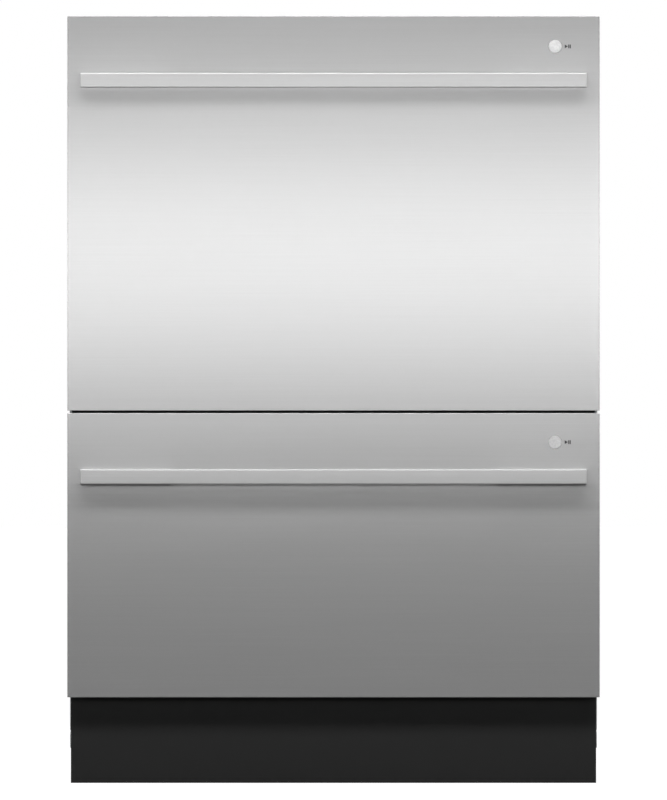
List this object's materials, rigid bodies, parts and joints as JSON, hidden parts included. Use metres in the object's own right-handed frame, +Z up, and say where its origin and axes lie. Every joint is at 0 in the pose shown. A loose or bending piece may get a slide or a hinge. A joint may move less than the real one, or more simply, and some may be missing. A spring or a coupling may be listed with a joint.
{
  "type": "two-drawer dishwasher",
  "caption": "Free-standing dishwasher with two stacked drawers, steel fronts, bar handles and a black toe kick; each drawer slides out with its tub, racks and wash system.",
  "frame": {"origin": "on the floor, under the middle of the whole object's bounding box", "axes": "+Z up, +X to the right as seen by someone facing the fronts; the drawers open towards -Y"},
  "size_m": [0.599, 0.613, 0.864],
  "materials": {
    "front_steel": "horizontally brushed stainless steel",
    "handle_steel": "brushed stainless steel, lengthwise grain",
    "button_steel": "satin, turned",
    "galvanised_sheet": "galvanised, faint spangle",
    "black_toe_kick": "satin black",
    "zinc_feet": "zinc plated",
    "runner_steel": "zinc plated, drawn",
    "coated_wire": "nylon coated",
    "tub_plastic": "moulded, fine grain",
    "lid_plastic": "moulded, fine grain",
    "dark_plastic": "moulded, fine grain",
    "white_plastic": "moulded, satin",
    "circuit_board": "potted electronics",
    "seal_rubber": "matte"
  },
  "bodies": {
    "cabinet": {"left_side_panel": "galvanised_sheet", "right_side_panel": "galvanised_sheet", "rear_panel": "galvanised_sheet", "top_panel": "galvanised_sheet", "base_pan": "galvanised_sheet", "divider_shelf": "galvanised_sheet", "toe_kick": "black_toe_kick", "water_inlet_valve": "white_plastic", "drain_spigot": "tub_plastic", "supply_gland": "dark_plastic", "upper_left_outer_rail": "runner_steel", "upper_right_outer_rail": "runner_steel", "lower_left_outer_rail": "runner_steel", "lower_right_outer_rail": "runner_steel"},
    "foot_front_left": {"foot_front_left": "zinc_feet"},
    "foot_front_right": {"foot_front_right": "zinc_feet"},
    "foot_rear_left": {"foot_rear_left": "zinc_feet"},
    "foot_rear_right": {"foot_rear_right": "zinc_feet"},
    "upper_lid": {"upper_lid": "lid_plastic", "upper_lid_seal": "seal_rubber"},
    "lower_lid": {"lower_lid": "lid_plastic", "lower_lid_seal": "seal_rubber"},
    "upper_middle_rails": {"upper_left_middle_rail": "runner_steel", "upper_right_middle_rail": "runner_steel"},
    "lower_middle_rails": {"lower_left_middle_rail": "runner_steel", "lower_right_middle_rail": "runner_steel"},
    "upper_drawer": {"upper_front_skin": "front_steel", "upper_door_liner": "dark_plastic", "upper_handle": "handle_steel", "upper_control_module": "circuit_board", "upper_tub": "tub_plastic", "upper_wash_motor": "dark_plastic", "upper_filter_plate": "dark_plastic", "upper_dish_rack": "coated_wire", "upper_fixed_tine_row": "coated_wire", "upper_detergent_dispenser": "white_plastic", "upper_left_inner_rail": "runner_steel", "upper_right_inner_rail": "runner_steel"},
    "lower_drawer": {"lower_front_skin": "front_steel", "lower_door_liner": "dark_plastic", "lower_handle": "handle_steel", "lower_control_module": "circuit_board", "lower_tub": "tub_plastic", "lower_wash_motor": "dark_plastic", "lower_filter_plate": "dark_plastic", "lower_dish_rack": "coated_wire", "lower_fixed_tine_row": "coated_wire", "lower_cutlery_basket": "tub_plastic", "lower_detergent_dispenser": "white_plastic", "lower_left_inner_rail": "runner_steel", "lower_right_inner_rail": "runner_steel"},
    "upper_start_button": {"upper_start_button": "button_steel"},
    "lower_start_button": {"lower_start_button": "button_steel"},
    "upper_spray_arm": {"upper_spray_arm": "white_plastic"},
    "lower_spray_arm": {"lower_spray_arm": "white_plastic"},
    "upper_tine_row": {"upper_tine_row": "coated_wire"},
    "lower_tine_row": {"lower_tine_row": "coated_wire"},
    "upper_cup_rack": {"upper_cup_rack": "coated_wire"},
    "upper_dispenser_flap": {"upper_dispenser_flap": "lid_plastic"},
    "lower_dispenser_flap": {"lower_dispenser_flap": "lid_plastic"}
  },
  "joints": [
    {"name": "upper_drawer_slide", "type": "slide", "parent": "cabinet", "child": "upper_drawer", "axis": [0, -1, 0], "range_m": [0, 0.46]},
    {"name": "lower_drawer_slide", "type": "slide", "parent": "cabinet", "child": "lower_drawer", "axis": [0, -1, 0], "range_m": [0, 0.46]},
    {"name": "upper_runner_slide", "type": "slide", "parent": "cabinet", "child": "upper_middle_rails", "axis": [0, -1, 0], "range_m": [0, 0.23]},
    {"name": "lower_runner_slide", "type": "slide", "parent": "cabinet", "child": "lower_middle_rails", "axis": [0, -1, 0], "range_m": [0, 0.23]},
    {"name": "upper_lid_lift", "type": "slide", "parent": "cabinet", "child": "upper_lid", "axis": [0, 0, 1], "range_m": [-0.008, 0], "stiffness_N_per_m": 600, "springref_m": 0.03},
    {"name": "lower_lid_lift", "type": "slide", "parent": "cabinet", "child": "lower_lid", "axis": [0, 0, 1], "range_m": [-0.008, 0], "stiffness_N_per_m": 600, "springref_m": 0.03},
    {"name": "upper_button_press", "type": "slide", "parent": "upper_drawer", "child": "upper_start_button", "axis": [0, 1, 0], "range_m": [0, 0.0015], "stiffness_N_per_m": 400, "springref_m": -0.002},
    {"name": "lower_button_press", "type": "slide", "parent": "lower_drawer", "child": "lower_start_button", "axis": [0, 1, 0], "range_m": [0, 0.0015], "stiffness_N_per_m": 400, "springref_m": -0.002},
    {"name": "upper_spray_arm_spin", "type": "hinge", "parent": "upper_drawer", "child": "upper_spray_arm", "pos_m": [0, 0.0029, 0.512], "axis": [0, 0, 1], "continuous": true},
    {"name": "lower_spray_arm_spin", "type": "hinge", "parent": "lower_drawer", "child": "lower_spray_arm", "pos_m": [0, 0.0029, 0.189], "axis": [0, 0, 1], "continuous": true},
    {"name": "upper_tine_fold", "type": "hinge", "parent": "upper_drawer", "child": "upper_tine_row", "pos_m": [0, 0.0592, 0.5474], "axis": [-1, 0, 0], "range_deg": [0, 85]},
    {"name": "lower_tine_fold", "type": "hinge", "parent": "lower_drawer", "child": "lower_tine_row", "pos_m": [0, 0.0592, 0.2248], "axis": [-1, 0, 0], "range_deg": [0, 85]},
    {"name": "upper_cup_rack_fold", "type": "hinge", "parent": "upper_drawer", "child": "upper_cup_rack", "pos_m": [-0.252, 0.015, 0.6451], "axis": [0, -1, 0], "range_deg": [0, 85]},
    {"name": "upper_flap_swing", "type": "hinge", "parent": "upper_drawer", "child": "upper_dispenser_flap", "pos_m": [0.1106, -0.2198, 0.774], "axis": [0, 0, 1], "range_deg": [0, 100]},
    {"name": "lower_flap_swing", "type": "hinge", "parent": "lower_drawer", "child": "lower_dispenser_flap", "pos_m": [0.1106, -0.2198, 0.3271], "axis": [0, 0, 1], "range_deg": [0, 100]},
    {"name": "foot_front_left_turn", "type": "hinge", "parent": "cabinet", "child": "foot_front_left", "pos_m": [-0.262, -0.1882, 0.03], "axis": [0, 0, 1], "continuous": true},
    {"name": "foot_front_right_turn", "type": "hinge", "parent": "cabinet", "child": "foot_front_right", "pos_m": [0.262, -0.1882, 0.03], "axis": [0, 0, 1], "continuous": true},
    {"name": "foot_rear_left_turn", "type": "hinge", "parent": "cabinet", "child": "foot_rear_left", "pos_m": [-0.262, 0.2715, 0.03], "axis": [0, 0, 1], "continuous": true},
    {"name": "foot_rear_right_turn", "type": "hinge", "parent": "cabinet", "child": "foot_rear_right", "pos_m": [0.262, 0.2715, 0.03], "axis": [0, 0, 1], "continuous": true}
  ],
  "couplings": [
    {"joint": "upper_runner_slide", "follows": "upper_drawer_slide", "ratio": 0.5},
    {"joint": "lower_runner_slide", "follows": "lower_drawer_slide", "ratio": 0.5}
  ]
}
